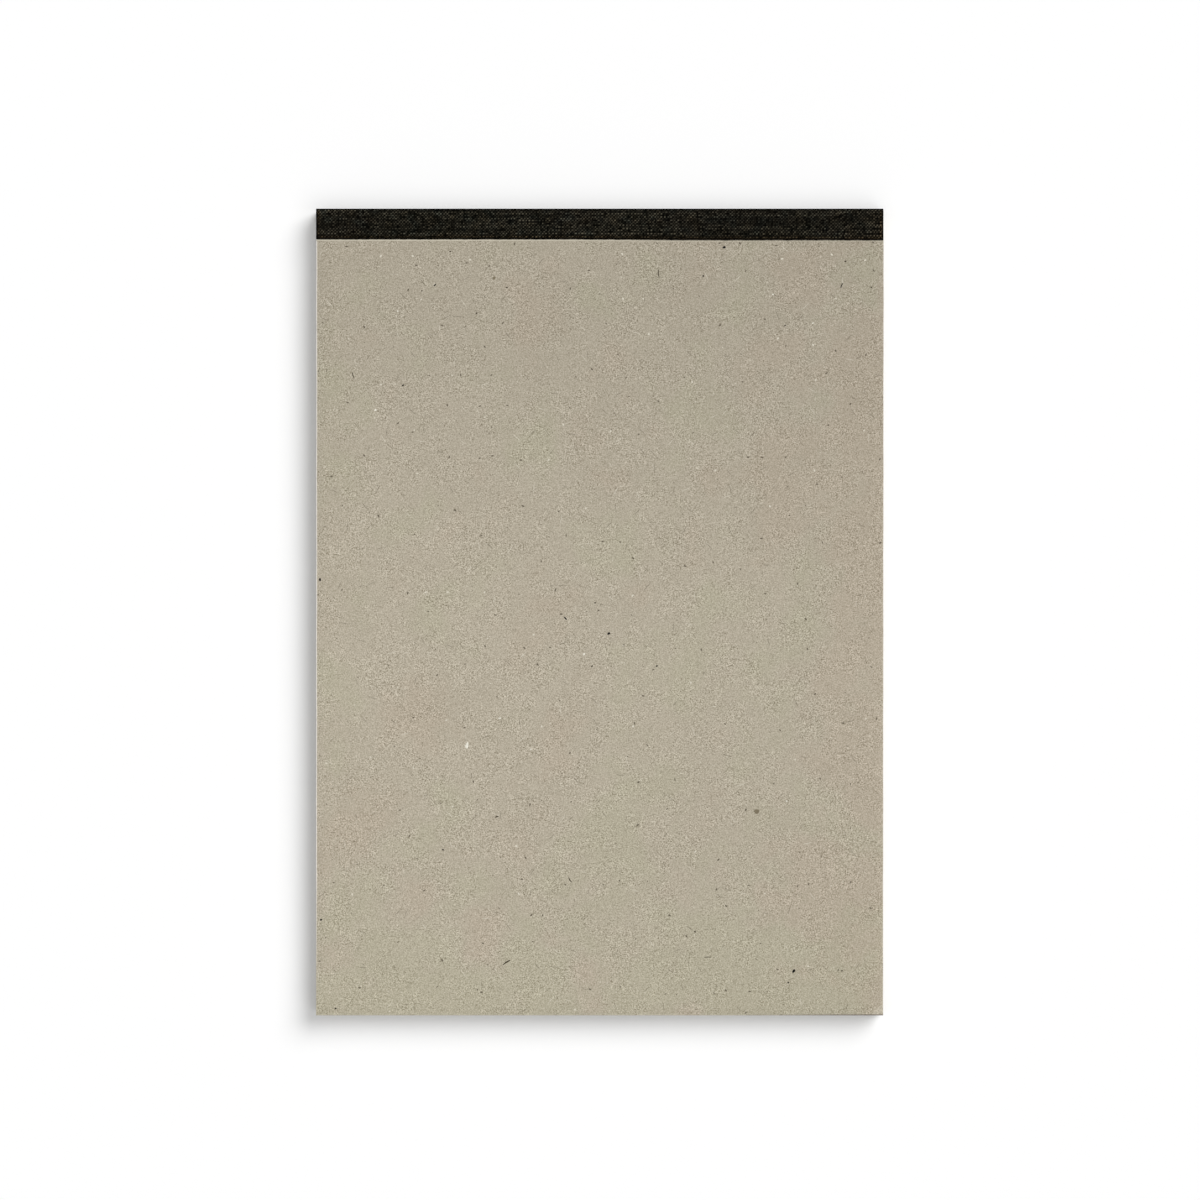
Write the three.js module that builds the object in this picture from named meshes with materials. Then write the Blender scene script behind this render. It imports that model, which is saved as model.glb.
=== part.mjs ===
// A5 pad of graph paper, bound along its head with a strip of book cloth.
//
// Millimetres, +Z up. The pad lies on its back with its head towards +Y and its width along X.
// The origin is under the middle of the pad, on the surface that it rests on.
//
// From the front: cover board, 50 sheets, back board. The sheets and the back board are held by a film of
// padding glue on their head edges. The cloth is stuck to the cover, folds over the head and is stuck again
// under the back board. The cover and the sheets all turn about the cloth's upper fold, the hinge line.

import * as THREE from 'three';

// Sheets
const SHEET_WIDTH = 148;
const SHEET_LENGTH = 210;
const SHEET_THICKNESS = 0.09;
const SHEET_COUNT = 50;
const SHEET_AIR = 0.01; // left between two sheets that are pressed flat

// Boards, trimmed flush with the sheets
const COVER_THICKNESS = 0.6;
const BACK_BOARD_THICKNESS = 1.5;

// Binding
const GLUE_THICKNESS = 0.2;
const CLOTH_THICKNESS = 0.25;
const FRONT_FLAP_REACH = 8; // from the head down the cover
const BACK_FLAP_REACH = 8; // from the head down the back board
const BOND_LINE = 0.01; // between two faces that are stuck together
const FOLD_SLIT = 0.01; // between the mitred halves of the cloth at the hinge line
const FOLD_ARC_FACETS = 8; // round the fold under the back board

// Levels, upwards from the surface that the pad lies on
const BACK_BOARD_BOTTOM = CLOTH_THICKNESS + BOND_LINE;
const BACK_BOARD_TOP = BACK_BOARD_BOTTOM + BACK_BOARD_THICKNESS;
const SHEET_PITCH = SHEET_THICKNESS + SHEET_AIR;
const STACK_TOP = BACK_BOARD_TOP + SHEET_COUNT * SHEET_PITCH;
const COVER_BOTTOM = STACK_TOP + SHEET_AIR;
const COVER_TOP = COVER_BOTTOM + COVER_THICKNESS;
const PAD_TOP = COVER_TOP + BOND_LINE + CLOTH_THICKNESS;

// Stations along Y, inwards from the outside of the cloth on the head
const GLUE_OUTSIDE_DEPTH = CLOTH_THICKNESS + BOND_LINE;
const GLUE_INSIDE_DEPTH = GLUE_OUTSIDE_DEPTH + GLUE_THICKNESS;
const SHEET_HEAD_DEPTH = GLUE_INSIDE_DEPTH + BOND_LINE;
const PAD_LENGTH = SHEET_HEAD_DEPTH + SHEET_LENGTH;
const HEAD_Y = PAD_LENGTH / 2;

const greyBoard = new THREE.MeshStandardMaterial({ color: 0xb1a997, roughness: 0.92, metalness: 0 });
const backGreyBoard = new THREE.MeshStandardMaterial({ color: 0xaaa291, roughness: 0.94, metalness: 0 });
const blackCloth = new THREE.MeshStandardMaterial({ color: 0x1e1c17, roughness: 0.8, metalness: 0 });
const driedGlue = new THREE.MeshStandardMaterial({ color: 0xe6e1d3, roughness: 0.45, metalness: 0 });
const whitePaper = new THREE.MeshStandardMaterial({ color: 0xf2f2ee, roughness: 0.85, metalness: 0 });

// A flat blank of the pad's width, its head edge and its lower face at the given places.
function trimmedBlank(name, material, thickness, headY, bottomZ) {
  const blank = new THREE.Mesh(new THREE.BoxGeometry(SHEET_WIDTH, SHEET_LENGTH, thickness), material);
  blank.name = name;
  blank.position.set(0, headY - SHEET_LENGTH / 2, bottomZ + thickness / 2);
  return blank;
}

// A strip as wide as the pad with one section all along: the shape's x is the pad's Y, its y is Z.
function stripAcrossHead(name, material, section) {
  const geometry = new THREE.ExtrudeGeometry(section, {
    depth: SHEET_WIDTH,
    bevelEnabled: false,
    curveSegments: FOLD_ARC_FACETS / 2, // an arc has two facets to a segment
  });
  geometry.translate(0, 0, -SHEET_WIDTH / 2);
  geometry.applyMatrix4(new THREE.Matrix4().makeBasis(
    new THREE.Vector3(0, 1, 0),
    new THREE.Vector3(0, 0, 1),
    new THREE.Vector3(1, 0, 0),
  ));
  const strip = new THREE.Mesh(geometry, material);
  strip.name = name;
  return strip;
}

// The cloth on the cover, seen from the hinge line at (0, 0). Its head end is cut at 45 degrees, so that it
// meets the spine as one fold when the pad is closed and swings clear of it as the cover opens.
function frontFlapSection() {
  const section = new THREE.Shape();
  section.moveTo(-FOLD_SLIT, 0);
  section.lineTo(-FRONT_FLAP_REACH, 0);
  section.lineTo(-FRONT_FLAP_REACH, -CLOTH_THICKNESS);
  section.lineTo(-FOLD_SLIT - CLOTH_THICKNESS, -CLOTH_THICKNESS);
  section.closePath();
  return section;
}

// The cloth over the head and under the back board, seen from the foot of the spine's outer face at (0, 0).
// The lower fold is round outside and square inside, where it is drawn round the edge of the board.
function spineSection() {
  const inside = -CLOTH_THICKNESS;
  const section = new THREE.Shape();
  section.moveTo(0, PAD_TOP);
  section.lineTo(inside, PAD_TOP - CLOTH_THICKNESS);
  section.lineTo(inside, CLOTH_THICKNESS);
  section.lineTo(-BACK_FLAP_REACH, CLOTH_THICKNESS);
  section.lineTo(-BACK_FLAP_REACH, 0);
  section.lineTo(inside, 0);
  section.absarc(inside, CLOTH_THICKNESS, CLOTH_THICKNESS, -Math.PI / 2, 0, false);
  section.closePath();
  return section;
}

// The film covers the head edges from the underside of the back board to the top of the first sheet.
function glueSection() {
  const section = new THREE.Shape();
  section.moveTo(-GLUE_OUTSIDE_DEPTH, BACK_BOARD_BOTTOM);
  section.lineTo(-GLUE_OUTSIDE_DEPTH, STACK_TOP);
  section.lineTo(-GLUE_INSIDE_DEPTH, STACK_TOP);
  section.lineTo(-GLUE_INSIDE_DEPTH, BACK_BOARD_BOTTOM);
  section.closePath();
  return section;
}

// What stays put: the back board, the glue and the cloth round them.
function boundBack() {
  const head = new THREE.Group();
  head.position.y = HEAD_Y;
  head.add(
    trimmedBlank('back_board', backGreyBoard, BACK_BOARD_THICKNESS, -SHEET_HEAD_DEPTH, BACK_BOARD_BOTTOM),
    stripAcrossHead('padding_glue', driedGlue, glueSection()),
    stripAcrossHead('binding_tape_spine', blackCloth, spineSection()),
  );
  return head;
}

// The sheets hang from the hinge line, counted from the front of the pad.
function graphSheets() {
  const hingeLine = new THREE.Group();
  hingeLine.position.set(0, HEAD_Y, PAD_TOP);
  for (let sheet = 1; sheet <= SHEET_COUNT; sheet += 1) {
    const bottomZ = STACK_TOP - (sheet - 1) * SHEET_PITCH - SHEET_THICKNESS - PAD_TOP;
    const name = `graph_sheet_${String(sheet).padStart(2, '0')}`;
    hingeLine.add(trimmedBlank(name, whitePaper, SHEET_THICKNESS, -SHEET_HEAD_DEPTH, bottomZ));
  }
  return hingeLine;
}

// The cover hangs from the hinge line with the cloth that is stuck to it.
function cover() {
  const hingeLine = new THREE.Group();
  hingeLine.position.set(0, HEAD_Y, PAD_TOP);
  hingeLine.add(
    trimmedBlank('front_cover', greyBoard, COVER_THICKNESS, -SHEET_HEAD_DEPTH, COVER_BOTTOM - PAD_TOP),
    stripAcrossHead('binding_tape_front_flap', blackCloth, frontFlapSection()),
  );
  return hingeLine;
}

const pad = new THREE.Group();
pad.add(boundBack(), graphSheets(), cover());

export default pad;
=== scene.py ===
"""Dresses an A5 pad of graph paper: grey board, squared sheets, padding glue and a strip of black book cloth.

The pad lies on its back on a pale floor with its head towards +Y, and the camera looks straight down on it.
Lengths are in metres, and a value in millimetres has mm in its name. Texture coordinates are in millimetres.
"""

import logging
import math
from abc import ABC, abstractmethod
from collections.abc import Callable
from dataclasses import dataclass
from enum import Enum
from typing import Any

import bpy
import numpy as np
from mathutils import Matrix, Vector


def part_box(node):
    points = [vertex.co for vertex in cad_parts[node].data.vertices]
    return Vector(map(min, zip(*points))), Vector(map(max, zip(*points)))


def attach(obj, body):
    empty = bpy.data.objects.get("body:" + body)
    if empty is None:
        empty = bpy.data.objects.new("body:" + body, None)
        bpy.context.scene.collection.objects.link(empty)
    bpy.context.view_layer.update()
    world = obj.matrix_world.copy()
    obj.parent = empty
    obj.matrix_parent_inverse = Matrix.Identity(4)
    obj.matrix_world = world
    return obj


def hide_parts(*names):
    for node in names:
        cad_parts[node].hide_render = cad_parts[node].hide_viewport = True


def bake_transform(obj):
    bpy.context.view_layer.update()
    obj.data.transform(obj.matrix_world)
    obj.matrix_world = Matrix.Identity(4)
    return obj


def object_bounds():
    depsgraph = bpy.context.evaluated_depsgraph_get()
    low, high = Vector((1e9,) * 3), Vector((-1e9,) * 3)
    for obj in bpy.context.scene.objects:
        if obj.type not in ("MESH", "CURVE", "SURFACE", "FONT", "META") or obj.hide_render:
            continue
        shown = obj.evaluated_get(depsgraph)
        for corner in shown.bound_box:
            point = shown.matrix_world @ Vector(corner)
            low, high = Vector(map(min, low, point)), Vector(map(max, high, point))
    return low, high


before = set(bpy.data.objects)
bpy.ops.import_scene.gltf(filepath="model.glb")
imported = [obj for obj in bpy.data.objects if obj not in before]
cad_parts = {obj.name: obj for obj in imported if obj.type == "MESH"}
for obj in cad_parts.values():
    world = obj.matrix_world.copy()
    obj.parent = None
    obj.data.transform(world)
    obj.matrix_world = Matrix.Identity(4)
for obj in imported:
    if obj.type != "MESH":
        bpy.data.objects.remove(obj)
cad_low, cad_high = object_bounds()
log = logging.getLogger("graph_pad")

MM = 0.001
SQUARE = 5 * MM  # the graph paper's ruling
Points = np.ndarray
Faces = list[list[int]]
Colour = tuple[float, float, float]
Piece = bpy.types.Object
Socket = bpy.types.NodeSocket


class Body(Enum):
    """The bodies that the pad's pieces ride on. Each sheet also has a body of its own."""

    BLOCK = "pad_block"
    COVER = "cover"


class Slot(Enum):
    """The material slots that the pieces are logged under."""

    COVER = "grey_board"
    BACK = "back_grey_board"
    CLOTH = "black_book_cloth"
    GLUE = "dried_padding_glue"
    PAPER = "graph_paper"


def linear(red: int, green: int, blue: int) -> Colour:
    """A colour from 0 to 255, as a screen shows it, turned into the scene-linear numbers of a shader."""
    return tuple(c / 3294.6 if c <= 10 else ((c / 255 + 0.055) / 1.055) ** 2.4 for c in (red, green, blue))


def smooth_step(value: Points, low: float, high: float) -> Points:
    """0 up to low, 1 from high on, and smooth between them."""
    t = np.clip((value - low) / (high - low), 0, 1)
    return t * t * (3 - 2 * t)


def yarn_noise(rng: np.random.Generator, line: Points, place: Points, pitch: float) -> Points:
    """Numbers that wander along each of many lines.

    Args:
        rng: where the random numbers come from.
        line: the whole number of each point's line.
        place: where each point is along its line.
        pitch: how far apart the random values are along a line.

    Returns:
        A number from -1 to 1 for each point.
    """
    line, at = line - line.min(), (place - place.min()) / pitch
    table = rng.uniform(-1, 1, (int(line.max()) + 1, int(at.max()) + 2))
    knot = at.astype(int)
    share = smooth_step(at - knot, 0, 1)
    return table[line, knot] * (1 - share) + table[line, knot + 1] * share


# Shader nodes


class Effect(Enum):
    """The node groups that the finishes share."""

    PULP = "felted_pulp"
    BITS = "strewn_bits"
    RULING = "square_ruling"
    RIM_WEAR = "rim_wear"


class Bench:
    """Adds and joins the nodes of one material or node group."""

    def __init__(self, tree: bpy.types.NodeTree) -> None:
        """Starts with an empty tree."""
        self.tree = tree
        tree.nodes.clear()

    def add(self, kind: str, inputs: dict[Any, Any], **settings: Any) -> Any:
        """Adds a node.

        Args:
            kind: Blender's name for it, without ShaderNode in front.
            inputs: socket name or number, and the value or the socket that feeds it.
            settings: the node's own settings.

        Returns:
            The node's outputs, which are found by name or number.
        """
        node = self.tree.nodes.new(kind if kind.startswith("NodeGroup") else "ShaderNode" + kind)
        for name, value in settings.items():
            setattr(node, name, value)
        for key, value in inputs.items():
            if isinstance(value, Socket):
                self.tree.links.new(value, node.inputs[key])
            elif value is not None:
                node.inputs[key].default_value = value
        return node.outputs

    def effect(self, effect: Effect, inputs: dict[str, Any]) -> Any:
        """Places a shared node group with its own values, and gives its outputs."""
        return self.add("Group", inputs, node_tree=bpy.data.node_groups[effect.value])

    def maths(self, operation: str, a: Any, b: Any = None, c: Any = None) -> Socket:
        """The result of a Math node on up to three numbers or sockets."""
        return self.add("Math", {0: a, 1: b, 2: c}, operation=operation)[0]

    def times(self, a: Any, b: Any) -> Socket:
        """One number times another."""
        return self.maths("MULTIPLY", a, b)

    def minus(self, a: Any, b: Any) -> Socket:
        """One number less another."""
        return self.maths("SUBTRACT", a, b)

    def vector_maths(self, operation: str, a: Any, b: Any = None) -> Socket:
        """The vector that a Vector Math node makes of one or two vectors."""
        return self.add("VectorMath", {0: a, 1: b}, operation=operation)["Vector"]

    def scaled(self, vector: Any, by: Any) -> Socket:
        """A vector times one number."""
        return self.add("VectorMath", {0: vector, "Scale": by}, operation="SCALE")["Vector"]

    def turned(self, vector: Any, angle: Any) -> Socket:
        """A vector turned about Z."""
        return self.add("VectorRotate", {"Vector": vector, "Angle": angle}, rotation_type="Z_AXIS")[0]

    def parts(self, vector: Any) -> Any:
        """A vector's X, Y and Z, found by name."""
        return self.add("SeparateXYZ", {0: vector})

    def joined(self, x: Any, y: Any) -> Socket:
        """A flat vector of two numbers."""
        return self.add("CombineXYZ", {0: x, 1: y})[0]

    def step(self, value: Any, low: Any, high: Any, start: Any = 0.0, end: Any = 1.0) -> Socket:
        """A smooth step from start at low to end at high."""
        inputs = {"Value": value, "From Min": low, "From Max": high, "To Min": start, "To Max": end}
        return self.add("MapRange", inputs, interpolation_type="SMOOTHSTEP")["Result"]

    def blend(self, share: Any, a: Any, b: Any, how: str = "MIX") -> Socket:
        """Two colours mixed, with a share of b from 0 to 1, in the way that Blender's blend type says."""
        a, b = ((*colour, 1) if isinstance(colour, tuple) else colour for colour in (a, b))
        return self.add("Mix", {0: share, 6: a, 7: b}, data_type="RGBA", blend_type=how)[2]

    def tinted(self, colour: Any, by: Any, share: Any = 1.0) -> Socket:
        """A colour multiplied by another colour or a number, wholly or by a share."""
        return self.blend(share, colour, by, "MULTIPLY")

    def noise(self, vector: Any, per_mm: Any, detail: float = 2.0, rough: float = 0.5) -> Socket:
        """Noise between about 0.2 and 0.8, with features of about 1 / per_mm millimetres."""
        inputs = {"Vector": vector, "Scale": per_mm, "Detail": detail, "Roughness": rough}
        return self.add("TexNoise", inputs)["Fac"]

    def stored(self, name: str) -> Socket:
        """The number that the mesh holds for each point under a name."""
        return self.add("Attribute", {}, attribute_name=name)["Fac"]

    def laid(self, name: str) -> Socket:
        """The flat place that the mesh holds under a name."""
        return self.add("UVMap", {}, uv_map=name)["UV"]

    def object_mm(self) -> Socket:
        """The place on the piece, in millimetres."""
        return self.scaled(self.add("TexCoord", {})["Object"], 1 / MM)

    def surface(self, colour: Any, rough: Any, relief: tuple[Any, float, float] | None = None,
                specular: float = 0.5, **more: Any) -> None:
        """Ends a material with its shader.

        Args:
            colour, rough: what feeds the shader's colour and roughness.
            relief: a height from 0 to 1, how strongly it shows and how deep it is in millimetres.
            specular: the shader's specular level.
            more: its other sockets, with _ for a space.
        """
        inputs = {"Base Color": colour, "Roughness": rough, "Specular IOR Level": specular}
        inputs |= {name.replace("_", " "): value for name, value in more.items()}
        if relief:
            height, strength, deep_mm = relief
            bump = {"Height": height, "Strength": strength, "Distance": deep_mm * MM}
            inputs["Normal"] = self.add("Bump", bump)[0]
        self.add("OutputMaterial", {0: self.add("BsdfPrincipled", inputs)[0]})


def start_group(effect: Effect, numbers: tuple[str, ...], *outputs: str) -> tuple[Bench, Any]:
    """Makes an effect's node group, which takes a place and numbers, and has nothing in it yet.

    Args:
        effect: which one it is.
        numbers: the names of the numbers that it takes.
        outputs: the names of the numbers that it puts out.

    Returns:
        A bench on the group's tree, and what comes into the group.
    """
    tree = bpy.data.node_groups.new(effect.value, "ShaderNodeTree")
    tree.interface.new_socket(name="Place", in_out="INPUT", socket_type="NodeSocketVector")
    for way, names in (("INPUT", numbers), ("OUTPUT", outputs)):
        for name in names:
            tree.interface.new_socket(name=name, in_out=way, socket_type="NodeSocketFloat")
    bench = Bench(tree)
    return bench, bench.add("NodeGroupInput", {})


def build_pulp() -> None:
    """Felted paper pulp, with grain, lying fibres and soft clouds. Tone is near 1, and Relief from 0 to 1."""
    bench, given = start_group(Effect.PULP, ("Grain per mm", "Grain", "Clouds"), "Tone", "Relief")
    place = given["Place"]
    fibres = []
    for angle, shift in ((0.35, 3.0), (1.9, 17.0), (1.1, 41.0), (2.7, 59.0)):
        shifted = bench.vector_maths("ADD", bench.turned(place, angle), (shift,) * 3)
        drawn_out = bench.vector_maths("MULTIPLY", shifted, (2.2, 5.5, 1.5))
        fibres.append(bench.step(bench.noise(drawn_out, 1.0, 1.0), 0.54, 0.68))
    pale, dark = bench.maths("MAXIMUM", *fibres[:2]), bench.maths("MAXIMUM", *fibres[2:])
    grain = bench.noise(place, given["Grain per mm"], 2.0, 0.6)
    relief = bench.maths("ADD", grain, bench.times(bench.minus(pale, dark), 0.1))
    coarse = bench.step(bench.noise(place, 0.2, 2.0), 0.38, 0.62, 0.65, 1.25)
    grained = bench.maths("MULTIPLY_ADD", bench.times(bench.minus(relief, 0.5), coarse), given["Grain"], 1.0)
    cloud = bench.minus(bench.noise(place, 0.07, 3.0, 0.6), 0.5)
    tone = bench.maths("MULTIPLY_ADD", cloud, given["Clouds"], grained)
    bench.add("NodeGroupOutput", {"Tone": tone, "Relief": relief})


def build_bits() -> None:
    """Bits of fibre or shive strewn through pulp, each turned its own way. Mask is 1 inside a bit."""
    numbers = ("Spacing mm", "Share", "Half length mm", "Half width mm")
    bench, given = start_group(Effect.BITS, numbers, "Mask")
    counted = bench.scaled(given["Place"], bench.maths("DIVIDE", 1.0, given["Spacing mm"]))
    cells = bench.add("TexVoronoi", {"Vector": counted, "Scale": 1.0}, voronoi_dimensions="2D")
    random = bench.add("SeparateColor", {0: cells["Color"]})
    flat = bench.vector_maths("MULTIPLY", counted, (1.0, 1.0, 0.0))
    away_mm = bench.scaled(bench.vector_maths("SUBTRACT", flat, cells["Position"]), given["Spacing mm"])
    own = bench.parts(bench.turned(away_mm, bench.times(random["Red"], math.tau)))
    bent = bench.minus(bench.noise(given["Place"], 1.1, 2.0), 0.5)
    sideways = bench.maths("MULTIPLY_ADD", bent, 0.5, own["Y"])
    long = bench.maths("DIVIDE", own["X"], given["Half length mm"])
    wide = bench.maths("DIVIDE", sideways, given["Half width mm"])
    reach = bench.add("VectorMath", {0: bench.joined(long, wide)}, operation="LENGTH")["Value"]
    own_size = bench.step(random["Blue"], 0.0, 1.0, 0.55, 1.3)
    inside = bench.step(bench.maths("DIVIDE", reach, own_size), 0.55, 1.0, 1.0, 0.0)
    kept = bench.maths("LESS_THAN", random["Green"], given["Share"])
    bench.add("NodeGroupOutput", {"Mask": bench.times(inside, kept)})


def build_ruling() -> None:
    """Squares printed in thin lines, one on each whole number of Place. Ink is from 0 to 1."""
    bench, given = start_group(Effect.RULING, ("Line width",), "Ink")
    half, soft = (bench.times(given["Line width"], share) for share in (0.5, 0.8))
    parts = bench.parts(given["Place"])
    lines = [bench.step(bench.maths("PINGPONG", parts[axis], 0.5), half, soft, 1.0, 0.0) for axis in "XY"]
    printed = bench.step(bench.noise(given["Place"], 9.0, 3.0), 0.2, 0.55, 0.65, 1.0)
    bench.add("NodeGroupOutput", {"Ink": bench.times(bench.maths("MAXIMUM", *lines), printed)})


def build_rim_wear() -> None:
    """Rubbed rims, from how far a point is from its piece's cut edge. Mask is 1 where the rim is rubbed."""
    bench, given = start_group(Effect.RIM_WEAR, ("Inwards mm", "Reach mm"), "Mask")
    patchy = bench.noise(given["Place"], 0.9, 4.0, 0.65)
    reach = bench.times(given["Reach mm"], bench.step(patchy, 0.25, 0.75, 0.1, 2.0))
    bench.add("NodeGroupOutput", {"Mask": bench.step(given["Inwards mm"], 0.0, reach, 1.0, 0.0)})


# Finishes


@dataclass(frozen=True)
class Swerve:
    """A line across the pad that steps smoothly from one level to another, all in millimetres."""

    left: float
    right: float
    start: float = -10.0
    end: float = 32.0

    def at(self, x_mm: Points) -> Points:
        """The line's level at places across the pad."""
        return self.left + (self.right - self.left) * smooth_step(x_mm, self.start, self.end)


@dataclass(frozen=True)
class Finish(ABC):
    """How one surface looks."""

    name: str

    @abstractmethod
    def paint(self, bench: Bench) -> None:
        """Adds the finish's nodes."""

    def material(self) -> bpy.types.Material:
        """Makes the material, and paints it.

        Returns:
            The material.
        """
        made = bpy.data.materials.new(self.name)
        made.use_nodes = True
        self.paint(Bench(made.node_tree))
        return made


@dataclass(frozen=True)
class Strewn:
    """One kind of small bits in the pulp."""

    spacing_mm: float
    share: float  # of the places for a bit, how many have one
    long_mm: float
    wide_mm: float
    strength: float
    pale: bool = False


@dataclass(frozen=True)
class BoardFinish(Finish):
    """Bare grey board, made from mixed waste paper."""

    colour: Colour
    dark: Colour = linear(92, 84, 70)
    pale: Colour = linear(214, 208, 192)
    burr: Colour = linear(244, 238, 230)
    # painted shade along the foot
    foot_shade: Colour = linear(112, 104, 98)
    glue_line: Colour = linear(208, 201, 182)
    greenish: Colour = (0.972, 1.0, 0.96)
    reddish: Colour = (1.0, 0.975, 0.97)
    grain: float = 1.9
    grain_grey: Colour = (1.0, 0.935, 0.815)  # the grain is lighter and darker, and no yellower
    painted_head_shade: float = 0.12  # painted shade: how much darker it is towards its head
    # painted shade: how much darker it is towards its right
    painted_right_shade: float = 0.035
    cut_edge: bool = False
    burr_mm: float = 0.0  # how wide the pale burr is that the cut left along its left edge
    painted_foot_shade_mm: float = 0.0  # how wide the line of painted shade is along its foot, on the right
    cloth_edge: Swerve | None = None  # where the cloth that is stuck on it ends
    strewn: tuple[Strewn, ...] = (
        Strewn(1.6, 0.3, 0.22, 0.12, 0.4),
        Strewn(7.0, 0.5, 0.38, 0.2, 0.9),
        Strewn(5.0, 0.35, 1.2, 0.09, 0.55),
        Strewn(2.2, 0.35, 0.22, 0.14, 0.55, pale=True),
        Strewn(7.0, 0.35, 1.2, 0.1, 0.6, pale=True),
        Strewn(11.0, 0.35, 0.34, 0.22, 1.0, pale=True),
    )

    def paint(self, bench: Bench) -> None:
        """Paints uneven pulp with bits in it, painted shade towards its head and its right, a rubbed rim and
        the marks of the making.

        Args:
            bench: where the nodes go.
        """
        place = bench.object_mm()
        parts = bench.parts(place)
        if self.cut_edge:  # unrolled along the edge, with the layers of pulp drawn out
            run = bench.times(bench.maths("ADD", parts["X"], parts["Y"]), 0.5)
            place = bench.joined(run, bench.times(parts["Z"], 3.0))
        values = {"Place": place, "Grain per mm": 3.1, "Grain": self.grain, "Clouds": 0.1}
        pulp = bench.effect(Effect.PULP, values)
        swing = tuple(self.colour[0] * share for share in self.grain_grey)
        colour = bench.vector_maths("ADD", self.colour, bench.scaled(swing, bench.minus(pulp["Tone"], 1.0)))
        # painted shade: the board is darkened towards its head and towards its right
        headwards = bench.step(parts["Y"], -20.0, 110.0, 1.0, 1.0 - self.painted_head_shade)
        rightwards = bench.step(parts["X"], -60.0, 60.0, 1.0, 1.0 - self.painted_right_shade)
        colour = bench.tinted(colour, bench.times(headwards, rightwards))
        tint = bench.noise(place, 0.06, 3.0)
        greener = bench.maths("ADD", bench.step(parts["Y"], -30.0, -110.0, 0.0, 0.2), tint)
        colour = bench.tinted(colour, self.greenish, bench.step(greener, 0.5, 0.75))
        redder = bench.minus(tint, bench.step(parts["X"], 20.0, 75.0, 0.0, 0.16))
        colour = bench.tinted(colour, self.reddish, bench.step(redder, 0.48, 0.3))
        for number, kind in enumerate(self.strewn):
            shifted = bench.vector_maths("ADD", place, (31.0 * number, 17.0 * number, 0.4 * number))
            values = {"Place": shifted, "Spacing mm": kind.spacing_mm, "Share": kind.share,
                      "Half length mm": kind.long_mm, "Half width mm": kind.wide_mm}
            mask = bench.times(bench.effect(Effect.BITS, values)["Mask"], kind.strength)
            colour = bench.blend(mask, colour, self.pale if kind.pale else self.dark)
        rim = {"Place": place, "Inwards mm": bench.stored("rim_mm"), "Reach mm": 0.35}
        worn = bench.times(bench.effect(Effect.RIM_WEAR, rim)["Mask"], 0.3)
        colour = self.mark(bench, place, bench.blend(worn, colour, self.pale))
        rough = bench.step(pulp["Relief"], 0.2, 0.8, 0.98, 0.86)
        bench.surface(colour, rough, (pulp["Relief"], 0.5, 0.03), specular=0.25)

    def mark(self, bench: Bench, place: Socket, colour: Socket) -> Socket:
        """Adds the marks that cutting and gluing left on this board, and painted shade along its foot and
        below the cloth.

        Args:
            bench: where the nodes go.
            place: the place in the pulp, in millimetres.
            colour: the board's colour without the marks.

        Returns:
            The colour with the marks.
        """
        parts = bench.parts(bench.object_mm())
        if self.burr_mm:
            burr = bench.step(bench.stored("from_left_mm"), self.burr_mm * 0.8, self.burr_mm * 1.2, 1.0, 0.0)
            burr = bench.times(burr, bench.step(parts["Y"], -104.0, -60.0))
            patchy = bench.step(bench.noise(place, 1.2, 3.0, 0.6), 0.2, 0.55, 0.5, 1.0)
            colour = bench.blend(bench.times(burr, patchy), colour, self.burr)
        # painted shade: a dark line along the foot, towards the right
        if self.painted_foot_shade_mm:
            from_foot, wide = bench.stored("from_foot_mm"), self.painted_foot_shade_mm
            foot_shade = bench.step(from_foot, wide * 0.6, wide * 1.3, 0.85, 0.0)
            foot_shade = bench.times(foot_shade, bench.step(parts["X"], 30.0, 72.0))
            colour = bench.blend(foot_shade, colour, self.foot_shade)
        if self.cloth_edge:  # the glue that was squeezed out along the cloth dried to a thin pale line, and a faint band of painted shade lies below it
            ends = self.cloth_edge
            cloth_edge = bench.step(parts["X"], ends.start, ends.end, ends.left, ends.right)
            below = bench.minus(cloth_edge, parts["Y"])
            outside = bench.step(bench.parts(bench.add("TexCoord", {})["Normal"])["Z"], 0.0, 0.5)
            line = bench.step(bench.maths("ABSOLUTE", bench.minus(below, 0.28)), 0.14, 0.26, 0.9, 0.0)
            thinned = bench.times(line, bench.step(parts["X"], -20.0, 50.0, 1.0, 0.35))
            colour = bench.blend(bench.times(thinned, outside), colour, self.glue_line)
            # painted shade: a faint darker band just below the cloth's edge, on the board's front face
            shade = bench.times(bench.step(below, 0.5, 0.9, 0.07, 0.0), outside)
            colour = bench.blend(shade, colour, self.dark)
        return colour


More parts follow.
